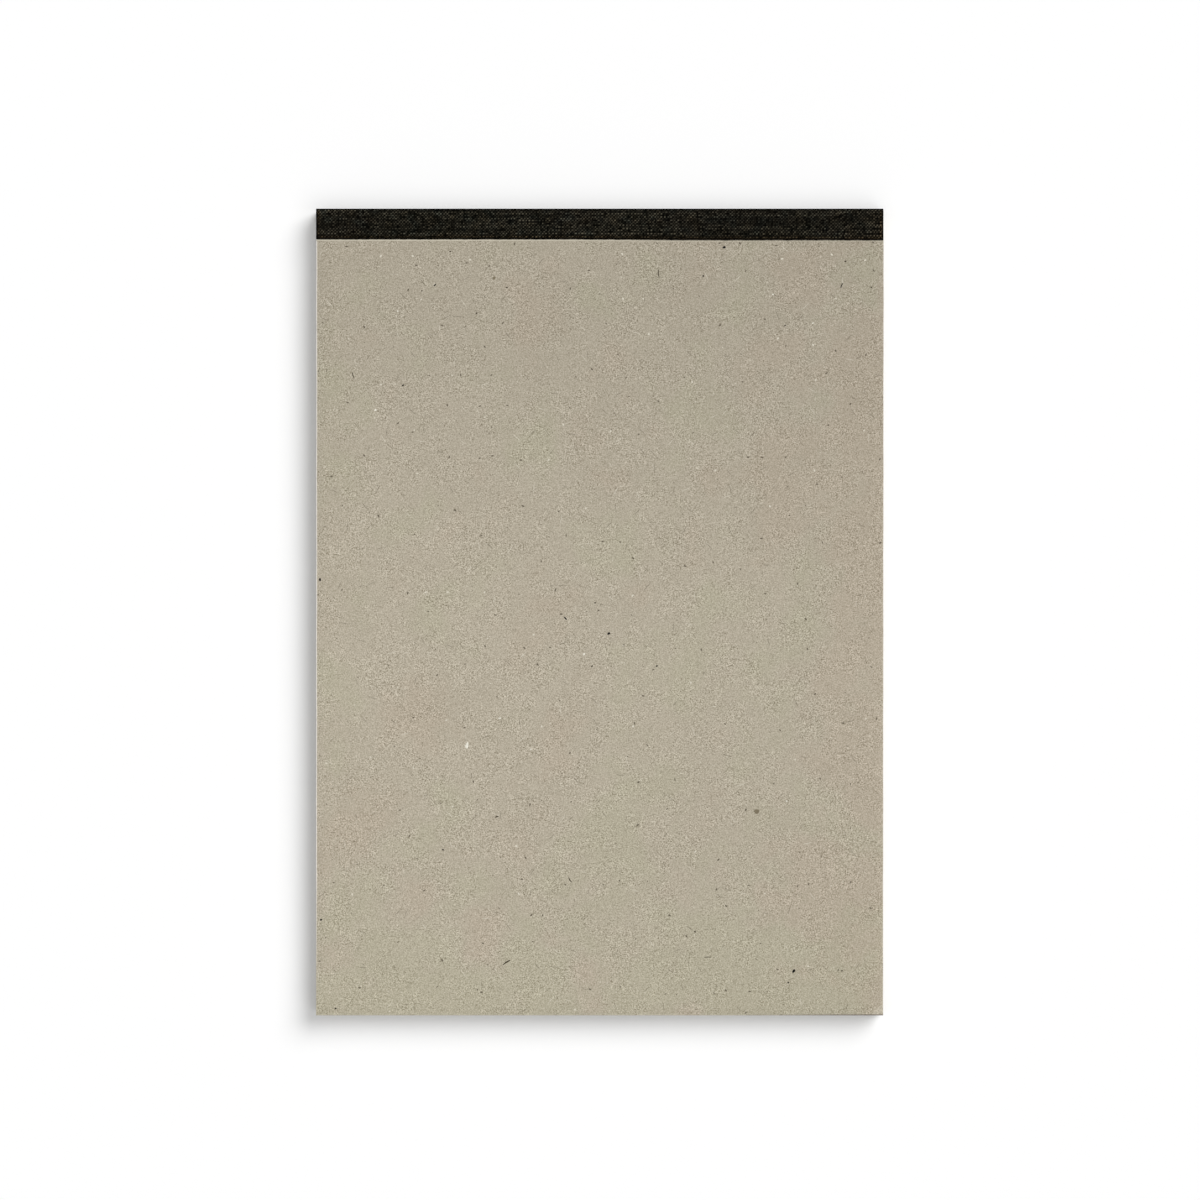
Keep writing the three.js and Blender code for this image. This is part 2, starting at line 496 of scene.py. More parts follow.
@dataclass(frozen=True)
class ClothFinish(Finish):
    """Black book cloth in a plain weave of uneven yarns."""

    name: str = "black_book_cloth"
    dark: Colour = linear(3, 3, 2)
    light: Colour = linear(95, 90, 76)
    cooler: Colour = (0.78, 0.94, 1.05)
    warmer: Colour = (1.05, 0.97, 0.86)
    browned: Colour = (1.25, 1.03, 0.82)  # where the glue has soaked in along the cut

    def paint(self, bench: Bench) -> None:
        """Paints the yarns that are modelled in the mesh, their hairs, and painted shade along the cloth's
        rim.

        Args:
            bench: where the nodes go.
        """
        lay = bench.laid("cloth_lay")
        tone, weft_up, inwards = (bench.stored(name) for name in ("yarn_tone", "weft_up", "rim_mm"))
        ways = ((1.6, 14.0, 1.0), (14.0, 1.6, 1.0))
        along, across = (bench.noise(bench.vector_maths("MULTIPLY", lay, way), 1.0, 2.0) for way in ways)
        hairs = bench.maths("ADD", across, bench.times(bench.minus(along, across), weft_up))
        shade = bench.times(tone, bench.step(hairs, 0.25, 0.75, 0.7, 1.3))
        colour = bench.blend(shade, self.dark, self.light)
        tint = bench.noise(lay, 0.3, 2.0)
        colour = bench.tinted(colour, self.cooler, bench.step(tint, 0.52, 0.65, 0.0, 0.6))
        colour = bench.tinted(colour, self.warmer, bench.step(tint, 0.48, 0.35, 0.0, 0.6))
        colour = bench.tinted(colour, self.browned, bench.step(inwards, 0.4, 1.3, 1.0, 0.0))
        # painted shade: near black within a fraction of a millimetre of the rim
        colour = bench.tinted(colour, bench.step(inwards, 0.2, 0.45, 0.05, 1.0))
        rough = bench.step(tone, 0.1, 0.9, 0.95, 0.62)
        bench.surface(colour, rough, (hairs, 0.35, 0.02), specular=0.02)


@dataclass(frozen=True)
class PaperFinish(Finish):
    """White writing paper, squared on both faces or bare on its cut edges."""

    colour: Colour = linear(245, 243, 237)
    ink: Colour = linear(118, 152, 186)
    line_width_mm: float = 0.2
    ruled: bool = True

    def paint(self, bench: Bench) -> None:
        """Paints faint pulp, and on it the ruling, or a shade of the sheet's own on the bare edges.

        Args:
            bench: where the nodes go.
        """
        squares = bench.laid("squares")
        place = bench.scaled(squares, SQUARE / MM)
        values = {"Place": place, "Grain per mm": 1.6, "Grain": 0.05, "Clouds": 0.03}
        pulp = bench.effect(Effect.PULP, values)
        colour = bench.tinted(self.colour, pulp["Tone"])
        if self.ruled:
            values = {"Place": squares, "Line width": self.line_width_mm * MM / SQUARE}
            ink = bench.effect(Effect.RULING, values)["Ink"]
            colour = bench.blend(bench.times(ink, 0.8), colour, self.ink)
        else:
            own = bench.add("ObjectInfo", {})["Random"]
            colour = bench.tinted(colour, bench.step(own, 0.0, 1.0, 0.76, 1.0))
        rough = bench.step(pulp["Relief"], 0.2, 0.8, 0.92, 0.8)
        bench.surface(colour, rough, (pulp["Relief"], 0.25, 0.01), specular=0.3, Subsurface_Weight=0.6,
                      Subsurface_Scale=0.15 * MM, Subsurface_Radius=(1.0, 1.0, 1.0))


@dataclass(frozen=True)
class FleckFinish(Finish):
    """A bit of something else in the board's pulp."""

    colour: Colour

    def paint(self, bench: Bench) -> None:
        """Paints it in one mottled colour.

        Args:
            bench: where the nodes go.
        """
        values = {"Place": bench.object_mm(), "Grain per mm": 6.0, "Grain": 1.6, "Clouds": 0.03}
        tone = bench.effect(Effect.PULP, values)["Tone"]
        bench.surface(bench.tinted(self.colour, tone), 0.85, specular=0.2)


@dataclass(frozen=True)
class GlueFinish(Finish):
    """Dried padding glue, off-white and a little cloudy."""

    name: str = "dried_padding_glue"
    colour: Colour = linear(230, 226, 210)
    cloudy: Colour = linear(206, 200, 180)

    def paint(self, bench: Bench) -> None:
        """Paints the clouds, and the marks of the brush.

        Args:
            bench: where the nodes go.
        """
        place = bench.object_mm()
        colour = bench.blend(bench.noise(place, 0.8, 3.0), self.colour, self.cloudy)
        rough = bench.step(bench.noise(place, 2.5, 2.0), 0.3, 0.7, 0.3, 0.55)
        bench.surface(colour, rough, (bench.noise(place, 3.0, 3.0), 0.4, 0.05))


# Meshes


def new_piece(name: str, points: Points, faces: Faces) -> Piece:
    """Makes an object from points and faces.

    Args:
        name: the piece's name.
        points: its vertices, one row each.
        faces: vertex numbers of each face, anticlockwise from outside.

    Returns:
        The object, in the scene.
    """
    mesh = bpy.data.meshes.new(name)
    mesh.from_pydata(points.tolist(), [], faces)
    mesh.validate()
    piece = bpy.data.objects.new(name, mesh)
    bpy.context.scene.collection.objects.link(piece)
    return piece


def hand_over(piece: Piece, finishes: list[bpy.types.Material], slot: Slot, node: str | None = None,
              body: Body | None = None) -> None:
    """Gives a piece its materials, and says what it is.

    Args:
        piece: the piece.
        finishes: its materials, in the order that its faces count them.
        slot: the material slot that it is logged under.
        node: the node that it stands for, if it stands for one.
        body: the body that it rides on, if it doesn't bend between two.
    """
    for finish in finishes:
        piece.data.materials.append(finish)
    if body:
        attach(piece, body.value)
    if node:
        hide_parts(node)
    log.info("%s: %d faces of %s", piece.name, len(piece.data.polygons), slot.value)


def add_numbers(piece: Piece, name: str, numbers: Points) -> None:
    """Stores one number for each vertex under a name that a material can read."""
    layer = piece.data.attributes.new(name, "FLOAT", "POINT")
    layer.data.foreach_set("value", numbers.astype(np.float32))


def add_uv(piece: Piece, name: str, places: Points) -> None:
    """Stores a flat place for each vertex as a UV map, so that a print or weave bends with its piece.

    Args:
        piece: the piece.
        name: what the UV map is called.
        places: the flat places, one row for each vertex.
    """
    corners = np.zeros(len(piece.data.loops), int)
    piece.data.loops.foreach_get("vertex_index", corners)
    layer = piece.data.uv_layers.new(name=name)
    layer.uv.foreach_set("vector", places[corners].astype(np.float32).ravel())


def grid_faces(rows: int, columns: int) -> Points:
    """The vertex numbers of a grid's quads, one row each. The vertices are numbered row by row."""
    grid = np.arange(rows * columns).reshape(rows, columns)
    return np.stack([grid[:-1, :-1], grid[:-1, 1:], grid[1:, 1:], grid[1:, :-1]], axis=-1).reshape(-1, 4)


def rim_of(rows: int, columns: int) -> list[int]:
    """The vertex numbers round a grid, anticlockwise where its rows go up and its columns go right."""
    grid = np.arange(rows * columns).reshape(rows, columns)
    return np.concatenate([grid[0], grid[1:, -1], grid[-1, -2::-1], grid[-2:0:-1, 0]]).tolist()


def closed_piece(name: str, under: Points, over: Points) -> tuple[Piece, Points]:
    """Makes a piece of two grids of points with a wall round them.

    Args:
        name: the piece's name.
        under, over: the grids, as rows, columns and coordinates.

    Returns:
        The piece, and whether each of its faces is in the wall.
    """
    rim, quads = np.array(rim_of(*over.shape[:2])), grid_faces(*over.shape[:2])
    after, first = np.roll(rim, -1), over[..., 0].size
    walls = np.stack([rim, after, first + after, first + rim], axis=1)
    faces = np.concatenate([quads[:, ::-1], quads + first, walls])
    piece = new_piece(name, np.concatenate([under.reshape(-1, 3), over.reshape(-1, 3)]), faces.tolist())
    return piece, np.arange(len(faces)) >= 2 * len(quads)


@dataclass
class Slab:
    """A thin flat blank with cut edges, as a grid of points on each face and a wall between them."""

    xs: Points
    ys: Points
    bottom: float
    top: float
    rounding: float = 0.0

    def build(self, name: str, lean: Callable[[Points, Points], tuple[Points, Points]],
              dip: Callable[[Points, Points], Points] | None = None) -> tuple[Piece, Points]:
        """Makes the closed mesh. The wall's faces take the second material.

        Args:
            name: the piece's name.
            lean: moves the outline a little, from x and y to new x and y.
            dip: how far the top face lies below its level.

        Returns:
            The piece, and each vertex's flat place before the outline was moved.
        """
        y, x = np.meshgrid(self.ys, self.xs, indexing="ij")
        inwards = np.minimum(np.minimum(x - self.xs[0], self.xs[-1] - x),
                             np.minimum(y - self.ys[0], self.ys[-1] - y))
        left = np.clip(self.rounding - inwards, 0, self.rounding)
        fall = self.rounding - np.sqrt(self.rounding**2 - left**2)
        moved_x, moved_y = lean(x, y)
        under = np.stack([moved_x, moved_y, self.bottom + fall], axis=-1)
        over = np.stack([moved_x, moved_y, self.top - fall - (dip(x, y) if dip else 0)], axis=-1)
        piece, in_wall = closed_piece(name, under, over)
        piece.data.polygons.foreach_set("use_smooth", ~in_wall & (self.rounding > 0))
        piece.data.polygons.foreach_set("material_index", in_wall.astype(int))
        add_numbers(piece, "rim_mm", np.tile(inwards.ravel(), 2) / MM)
        return piece, np.tile(np.stack([x, y], axis=-1).reshape(-1, 2), (2, 1))


# The pad's pieces


@dataclass
class TrimmedBoard:
    """A board of the pad, cut with the sheets."""

    node: str
    body: Body
    slot: Slot
    face: BoardFinish
    edge: BoardFinish
    name: str
    rounding: float = 0.06 * MM
    pitch: float = 3 * MM
    hollow: float = 0.02 * MM  # the depth of the shallow hollows in its face
    uneven: float = 0.015 * MM  # how far its cut edges wander
    left_inset: tuple[float, float] = (0.0, 0.0)  # how far its left edge stands back at foot and head
    right_inset: tuple[float, float] = (0.0, 0.0)  # the same on the right

    def stations(self, low: float, high: float) -> Points:
        """Places from edge to edge, with four steps round each rounded rim and a pitch between the rest.

        Args:
            low, high: where the board's edges are.

        Returns:
            The places, from low to high.
        """
        turn = self.rounding * (1 - np.cos(np.linspace(0, math.pi / 2, 5)))[:-1]
        count = max(2, round((high - low) / self.pitch))
        middle = np.linspace(low + self.rounding, high - self.rounding, count)
        return np.concatenate([low + turn, middle, (high - turn)[::-1]])

    def lean(self, x: Points, y: Points) -> tuple[Points, Points]:
        """Turns the outline a hair, and makes its cut edges a little uneven.

        Args:
            x, y: places on the board.

        Returns:
            Where the knife left them.
        """
        low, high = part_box(self.node)
        up, right = (y - low.y) / (high.y - low.y), (x - low.x) / (high.x - low.x)
        insets = (self.left_inset, self.right_inset)
        from_left, from_right = (np.interp(up, (0, 1), inset) for inset in insets)
        waves = np.sin(y / (7 * MM)) + np.sin(y / (2.3 * MM) + 1)
        return x + from_left * (1 - right) - from_right * right + self.uneven * waves * (1 - 2 * right), y

    def dip(self, x: Points, y: Points) -> Points:
        """How deep the shallow hollows in its face are, each a few centimetres across."""
        wave = np.sin(x / (19 * MM) + 0.6) * np.sin(y / (27 * MM)) + np.sin(x / (8 * MM) - y / (11 * MM))
        return self.hollow * (2 + wave) / 4

    def build(self) -> Piece:
        """Builds the board in its node's place.

        Returns:
            The piece.
        """
        low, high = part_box(self.node)
        xs, ys = self.stations(low.x, high.x), self.stations(low.y, high.y)
        piece, flat = Slab(xs, ys, low.z, high.z, self.rounding).build(self.name, self.lean, self.dip)
        add_numbers(piece, "from_left_mm", (flat[:, 0] - low.x) / MM)
        add_numbers(piece, "from_foot_mm", (flat[:, 1] - low.y) / MM)
        return piece

    def dress(self, piece: Piece) -> None:
        """Gives the board its finish and its place in the pad."""
        hand_over(piece, [self.face.material(), self.edge.material()], self.slot, self.node, self.body)


class Bit(Enum):
    """What a fleck looks like."""

    BLACK = FleckFinish("black_shive", linear(20, 17, 13))
    DARK = FleckFinish("dark_shive", linear(62, 54, 40))
    BROWN = FleckFinish("brown_bark", linear(122, 112, 92))
    PALE = FleckFinish("pale_pulp", linear(232, 228, 214))


@dataclass(frozen=True)
class Fleck:
    """One fleck that can be told by eye in the cover's face. Its place is from the middle of the pad."""

    x_mm: float
    y_mm: float
    long_mm: float
    wide_mm: float
    turn_deg: float
    bit: Bit
    bow_mm: float = 0.0  # how far a fibre's middle lies off its ends


BLACK, DARK, BROWN, PALE = Bit
FLECKS = (
    Fleck(2.4, -5.6, 0.95, 0.75, 20, BLACK), Fleck(50.6, -93.7, 1.3, 0.85, 60, BLACK),
    Fleck(49.2, -96.7, 0.6, 0.45, 0, BLACK), Fleck(32.5, 95.2, 1.15, 0.75, 10, BLACK),
    Fleck(-43.0, 85.3, 0.9, 0.45, 35, BLACK), Fleck(-46.4, 83.8, 0.5, 0.35, 0, DARK),
    Fleck(-27.6, 87.2, 1.15, 0.95, 50, BROWN), Fleck(-24.2, 84.7, 0.6, 0.45, 0, DARK),
    Fleck(-32.1, 78.0, 0.9, 0.4, 25, DARK), Fleck(-39.0, 94.1, 0.6, 0.4, 0, DARK),
    Fleck(27.0, 87.7, 0.65, 0.45, 80, BLACK), Fleck(48.4, 74.8, 0.5, 0.4, 0, BLACK),
    Fleck(70.9, 84.7, 0.6, 0.4, 40, DARK), Fleck(64.1, 91.5, 0.7, 0.5, 0, DARK),
    Fleck(63.2, 85.1, 1.7, 0.36, 70, BLACK, 0.15), Fleck(-51.3, 59.2, 0.95, 0.5, 30, BLACK),
    Fleck(-64.0, 61.8, 2.3, 0.28, 110, DARK, 0.4), Fleck(-1.2, 2.4, 0.6, 0.5, 0, DARK),
    Fleck(-9.0, -1.6, 1.4, 0.48, -45, BLACK), Fleck(-2.0, -14.1, 0.7, 0.5, 50, DARK),
    Fleck(14.9, -14.1, 0.75, 0.48, 30, BLACK), Fleck(15.4, 88.4, 2.7, 0.32, 90, DARK, 0.1),
    Fleck(-73.0, 8.5, 1.0, 0.7, 90, BLACK), Fleck(-72.7, -80.3, 0.8, 0.6, 0, BLACK),
    Fleck(-68.9, -103.4, 0.65, 0.45, 0, BLACK), Fleck(-40.9, -62.0, 0.65, 0.5, 0, BLACK),
    Fleck(-24.3, -91.5, 2.8, 0.4, 35, DARK, 0.15), Fleck(-7.5, -69.7, 2.4, 0.3, 120, DARK, 0.4),
    Fleck(24.9, -83.4, 0.7, 0.5, 0, DARK), Fleck(28.2, -90.1, 2.4, 0.26, 0, DARK, 0.1),
    Fleck(63.2, -93.6, 0.6, 0.4, 0, DARK), Fleck(-26.8, -53.4, 1.15, 0.45, 20, DARK),
    Fleck(41.0, -52.0, 1.8, 1.5, 15, BROWN), Fleck(-34.6, -34.8, 1.9, 1.1, 80, PALE),
    Fleck(-4.1, -11.0, 0.8, 0.6, 60, PALE), Fleck(-58.5, 52.7, 0.8, 0.5, 0, PALE),
    Fleck(-52.7, 78.5, 0.6, 0.4, 0, PALE), Fleck(45.2, 82.9, 0.6, 0.5, 0, PALE),
    Fleck(55.6, 75.4, 0.6, 0.4, 40, PALE), Fleck(-26.1, -27.7, 0.75, 0.6, 0, PALE),
    Fleck(-18.0, -35.8, 0.55, 0.35, 90, PALE), Fleck(48.8, -49.3, 0.6, 0.5, 0, PALE),
)


@dataclass
class CoverFlecks:
    """The shives, fibres and bits of pulp that lie in the cover's face."""

    cover: TrimmedBoard
    flecks: tuple[Fleck, ...] = FLECKS
    sides: int = 11
    ragged: float = 0.22  # how uneven a fleck's outline is
    proud: float = 0.008 * MM  # how far a fleck's middle stands out of the face
    sunk: float = 0.03 * MM
    seed: int = 61

    def build(self) -> Piece:
        """Builds the flecks as one piece, each a low closed dome that is sunk in the face.

        Returns:
            The piece.
        """
        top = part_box(self.cover.node)[1].z
        rng = np.random.default_rng(self.seed)
        points, faces, kinds = [], [], []
        around = np.linspace(0, math.tau, self.sides, endpoint=False)
        # how far out each ring is, as a share of the fleck, and how far above the face
        rings = ((0.0, self.proud), (0.7, self.proud * 0.8), (1.0, -self.proud), (0.0, -self.sunk))
        for fleck in self.flecks:
            ragged = 1 + self.ragged * rng.uniform(-1, 1, self.sides)
            turn = math.radians(fleck.turn_deg)
            middle = np.array([fleck.x_mm, fleck.y_mm]) * MM
            level = top - float(self.cover.dip(*middle))
            inner = len(points) + 1
            outer, below = inner + self.sides, inner + 2 * self.sides
            for share, rise in rings:
                long = share * ragged * np.cos(around) * fleck.long_mm / 2
                wide = share * ragged * np.sin(around) * fleck.wide_mm / 2
                wide = wide + fleck.bow_mm * (1 - (2 * long / fleck.long_mm) ** 2)
                x = middle[0] + (long * math.cos(turn) - wide * math.sin(turn)) * MM
                y = middle[1] + (long * math.sin(turn) + wide * math.cos(turn)) * MM
                ring = np.stack([x, y, np.full_like(x, level + rise)], axis=1)
                points.extend(ring[:1] if share == 0 else ring)
            for k in range(self.sides):
                n = (k + 1) % self.sides
                faces += [[inner - 1, inner + k, inner + n], [inner + k, outer + k, outer + n, inner + n],
                          [outer + k, below, outer + n]]
                kinds += [list(Bit).index(fleck.bit)] * 3
        piece = new_piece("cover_flecks", np.array(points), faces)
        piece.data.polygons.foreach_set("material_index", kinds)
        return piece

    def dress(self, piece: Piece) -> None:
        """Gives the flecks their colours and sets them in the cover."""
        hand_over(piece, [bit.value.material() for bit in Bit], Slot.COVER, body=Body.COVER)


@dataclass
class GraphSheets:
    """The sheets of graph paper, each held by its head edge."""

    nodes: list[str]
    bend: float = 10 * MM  # how much of a sheet bends when it is turned
    stagger: float = 0.02 * MM  # how unevenly the sheets were knocked together
    drawn_in: float = 0.01 * MM  # how far every cut edge stands back at least
    alike: int = 5  # how many sheets on end stand back by much the same
    bend_rows: int = 15  # of points where it bends
    crowding: float = 1.3  # above 1 these rows are closest at the head
    past_bend: float = 1.1  # how far they reach, counted in bends
    flat_rows: int = 12
    columns: int = 9
    seed: int = 5

    def build(self) -> list[Piece]:
        """Builds the sheets, counted from the front.

        Returns:
            The pieces.
        """
        rng = np.random.default_rng(self.seed)
        knocks = rng.uniform(-1, 1, len(self.nodes) + self.alike - 1)
        stack = self.stagger * np.convolve(knocks, np.ones(self.alike) / 2, "valid")
        made = []
        for number, node in enumerate(self.nodes):
            low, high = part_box(node)
            reach = np.linspace(0, 1, self.bend_rows) ** self.crowding * self.bend * self.past_bend
            bending = high.y - reach
            flat = np.linspace(bending[-1], low.y, self.flat_rows)[1:]
            ys = np.concatenate([flat[::-1], bending[::-1]])
            xs = np.linspace(low.x, high.x, self.columns)
            back = abs(stack[number]) + self.drawn_in

            def lean(x: Points, y: Points, back: float = back) -> tuple[Points, Points]:
                """Draws the cut edges in a hair, so that the block's sides show their sheets."""
                right = (x - low.x) / (high.x - low.x)
                return x + back * (1 - 2 * right), np.where(y < low.y + 1e-6, y + back, y)

            piece, flat_place = Slab(xs, ys, low.z, high.z).build(f"paper_{number + 1:02d}", lean)
            margin = ((high.x - low.x) % SQUARE) / 2
            add_uv(piece, "squares", (flat_place - [low.x + margin, high.y - SQUARE / 2]) / SQUARE)
            made.append(piece)
        return made

    def dress(self, pieces: list[Piece]) -> None:
        """Gives the sheets their finish in their nodes' places, and hides the nodes.

        Args:
            pieces: the sheets.
        """
        ruled = PaperFinish("squared_paper").material()
        cut = PaperFinish("cut_paper_edge", linear(232, 230, 222), ruled=False).material()
        for piece, node in zip(pieces, self.nodes, strict=True):
            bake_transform(piece)
            hand_over(piece, [ruled, cut], Slot.PAPER, node)


@dataclass
class Section:
    """A stretch of the cloth seen from its end: rows of y and z, evenly spaced along the cloth."""

    outer: Points
    inner: Points
    outward: Points
    lay: Points
    thick: float

    @classmethod
    def along(cls, corners: list[tuple[float, float]], thick: float, pitch: float) -> "Section":
        """Draws cloth round corners that lie on its outside.

        Args:
            corners: the first end, the corners and the last end, as y and z.
            thick: the cloth's thickness.
            pitch: about how far apart the rows are.

        Returns:
            The section, with square ends.
        """
        ends = np.array(corners)
        ways = np.diff(ends, axis=0)
        ways /= np.linalg.norm(ways, axis=1)[:, None]
        square = [np.array([-way[1], way[0]]) for way in (ways[0], ways[-1])]
        inside_radius, corner_steps = 0.02 * MM, 9
        radius = thick + inside_radius
        rows = [(ends[0], square[0], 0.0)]
        for corner, before, after in zip(ends[1:-1], ways, ways[1:], strict=False):
            for turn in np.linspace(0, math.pi / 2, corner_steps):
                normal = before * math.sin(turn) - after * math.cos(turn)
                rows.append((corner - before * radius + after * radius, normal, radius))
        rows.append((ends[-1], square[1], 0.0))
        centre, normal, reach = (np.array(column) for column in zip(*rows, strict=True))
        outer = centre + normal * reach[:, None]
        inner = centre + normal * (reach - thick)[:, None]
        lengths = np.concatenate([[0], np.cumsum(np.linalg.norm(np.diff(outer, axis=0), axis=1))])
        lay = np.linspace(0, lengths[-1], round(lengths[-1] / pitch) + 1)
        evened = (np.stack([np.interp(lay, lengths, part[:, k]) for k in (0, 1)], axis=1)
                  for part in (outer, inner, normal))
        return cls(*evened, lay, thick)

    def bends(self) -> list[int]:
        """The rows where the cloth turns a corner."""
        turning = np.abs(np.diff(self.outward, axis=0)).sum(axis=1) > 1e-4
        return [row for row in range(1, len(self.lay) - 1) if turning[row - 1] or turning[row]]

    def shape_fold(self, rounding: float, at_end: bool) -> None:
        """Mitres one end, where this stretch meets the other at the fold, and rounds it outside.

        Args:
            rounding: how far from the fold the outside starts to fall away.
            at_end: whether that is the section's last end.
        """
        toward = self.lay[-1] - self.lay if at_end else self.lay
        ahead = np.gradient(self.outer, self.lay, axis=0) * (1 if at_end else -1)
        mitre_length, last_turn = 1.2 * MM, 0.7  # the rounding's last turn is short of a quarter circle
        drawn_back = (1 - smooth_step(toward, 0, mitre_length)) * self.thick
        self.inner -= ahead * drawn_back[:, None]
        near = np.clip(1 - toward / rounding, 0, 1)
        self.outer -= self.outward * (rounding * (1 - np.sqrt(1 - (last_turn * near) ** 2)))[:, None]


@dataclass(frozen=True)
class Yarn:
    """The warp's or the weft's yarns. Lengths are counted in yarns, and tones go from 0 to 1."""

    sway: float  # how far one wanders from its line
    sway_length: float
    width: float
    slub: float  # how much its width changes
    slub_length: float
    arch: float  # how far it dips on its way over another
    tone: float
    slub_tone: float
    mottle: float  # how much its tone changes from one crossing to the next
    # painted shade: how steeply a yarn darkens towards its sides, and how much towards its ends
    painted_side_shade: int
    painted_end_shade: float

    def rounded(self, across: Points, slub: Points) -> Points:
        """How high it is at places from -1 to 1 across it, as its own rounded section has it."""
        return np.sqrt(np.clip(1 - (across / (self.width + self.slub * slub)) ** 2, 0, 1))

    def arched(self, rounded: Points, along: Points) -> Points:
        """How high it is on its way over another, from -1 to 1 along it."""
        return rounded * (1 - self.arch * along**2)

    def mottled(self, slub: Points, random: Points) -> Points:
        """Its tone along it."""
        return self.tone + self.slub_tone * slub + self.mottle * random

    def lit(self, tone: Points, rounded: Points, along: Points) -> Points:
        """Its tone where it is on top, with painted shade where it turns down to its sides and its ends."""
        return tone * (rounded**self.painted_side_shade * (1 - self.painted_end_shade * along**2))


@dataclass
class BindingCloth:
    """The strip of book cloth over the head: on the cover, over the spine and under the back board."""

    flap_node: str = "binding_tape_front_flap"
    spine_node: str = "binding_tape_spine"
    yarn: float = 0.43 * MM  # from one yarn to the next
    warp: Yarn = Yarn(sway=0.16, sway_length=5.0, width=0.92, slub=0.12, slub_length=6.0, arch=0.6,
                      tone=0.04, slub_tone=0.04, mottle=0.12, painted_side_shade=3, painted_end_shade=0.7)
    weft: Yarn = Yarn(sway=0.1, sway_length=11.0, width=1.0, slub=0.18, slub_length=9.0, arch=0.55,
                      tone=0.4, slub_tone=0.12, mottle=0.46, painted_side_shade=4, painted_end_shade=0.3)
    under: float = 0.35  # how high a yarn is where it goes under another
    mottle_length: float = 1.25  # in yarns
    dyed_apart: float = 0.68  # how unlike the next a weft yarn was dyed
    dyed_length: float = 70.0
    relief: float = 0.035 * MM  # from a yarn's crown to the gap beside it
    samples: int = 3  # mesh points to a yarn
    fray: float = 0.05 * MM  # how ragged the long edges are
    fray_length: float = 0.9 * MM
    fray_depth: float = 3 * MM  # how far in the yarns still swerve with the edge
    pulled: float = 0.04 * MM  # how far yarns are pulled in at the short ends
    pulled_length: float = 0.4 * MM
    pulled_depth: float = 0.6 * MM
    darkest: float = 0.005
    painted_fold_tone: float = 0.3  # painted shade: how light the yarns still are in the fold
    fold_shade: tuple[float, float] = (0.05 * MM, 0.4 * MM)  # from where to where beside the fold the painted shade fades
    fold_rounding: float = 0.12 * MM
    reach: Swerve = Swerve(-0.05, 0.18)  # how much further than its node the flap reaches down the cover
    seed: int = 23
    edge_seeds: tuple[int, int] = (24, 25)

    def weave(self, x: Points, lay: Points) -> tuple[Points, Points, Points]:
        """Works out the yarns at points of the cloth.

        Args:
            x: places along the strip.
            lay: places across the strip, measured along the cloth.

        Returns:
            How far each point lies below the crowns, its tone from 0 to 1, and 1 where the weft is on top.
        """
        rng = np.random.default_rng(self.seed)
        u, v = x / self.yarn, lay / self.yarn
        u = u + self.warp.sway * yarn_noise(rng, np.floor(u).astype(int), v, self.warp.sway_length)
        v = v + self.weft.sway * yarn_noise(rng, np.floor(v).astype(int), u, self.weft.sway_length)
        warp, weft = np.floor(u).astype(int), np.floor(v).astype(int)
        a, b = 2 * (u - warp) - 1, 2 * (v - weft) - 1
        weft_slub = yarn_noise(rng, weft, u, self.weft.slub_length)
        warp_slub = yarn_noise(rng, warp, v, self.warp.slub_length)
        weft_up = (warp + weft) % 2 == 0
        weft_round, warp_round = self.weft.rounded(b, weft_slub), self.warp.rounded(a, warp_slub)
        weft_over, warp_over = self.weft.arched(weft_round, a), self.warp.arched(warp_round, b)
        crown = np.where(weft_up, weft_over, warp_over)
        under = self.under * np.where(weft_up, warp_round, weft_round)
        weft_tone = self.weft.mottled(weft_slub, yarn_noise(rng, weft, u, self.mottle_length))
        weft_tone *= 1 + self.dyed_apart * yarn_noise(rng, weft, u, self.dyed_length)
        warp_tone = self.warp.mottled(warp_slub, yarn_noise(rng, warp, v, self.mottle_length))
        weft_lit, warp_lit = self.weft.lit(weft_tone, weft_round, a), self.warp.lit(warp_tone, warp_round, b)
        tone = np.where(weft_up, weft_lit, warp_lit)
        low = (1 - np.maximum(crown, under)) * self.relief
        return low, np.clip(tone, self.darkest, 1), weft_up.astype(float)

    def coarse_back(self, section: Section, columns: int) -> tuple[list[int], Faces]:
        """Works out the cloth's back, which needs points only round its rim and where it bends.

        Args:
            section: the stretch, seen from its end.
            columns: how many points the front has along the strip.

        Returns:
            The front's vertices that the back has too, and the back's faces. Its vertices come last.
        """
        rows = len(section.lay)
        stops = [*range(0, columns - 1, self.samples), columns - 1]
        cuts = [0, *section.bends(), rows - 1]
        bent = [row * columns + stop for row in cuts[1:-1] for stop in stops]
        kept = dict.fromkeys(rim_of(rows, columns) + bent)
        place = {front: rows * columns + number for number, front in enumerate(kept)}
        faces = []
        for foot, head in zip(cuts, cuts[1:], strict=False):
            for left, right in zip(stops, stops[1:], strict=False):
                wide = right - left + 1
                rim = rim_of(head - foot + 1, wide)
                ring = [(foot + v // wide) * columns + left + v % wide for v in rim]
                faces.append([place[v] for v in reversed(ring) if v in place])
        return list(kept), faces

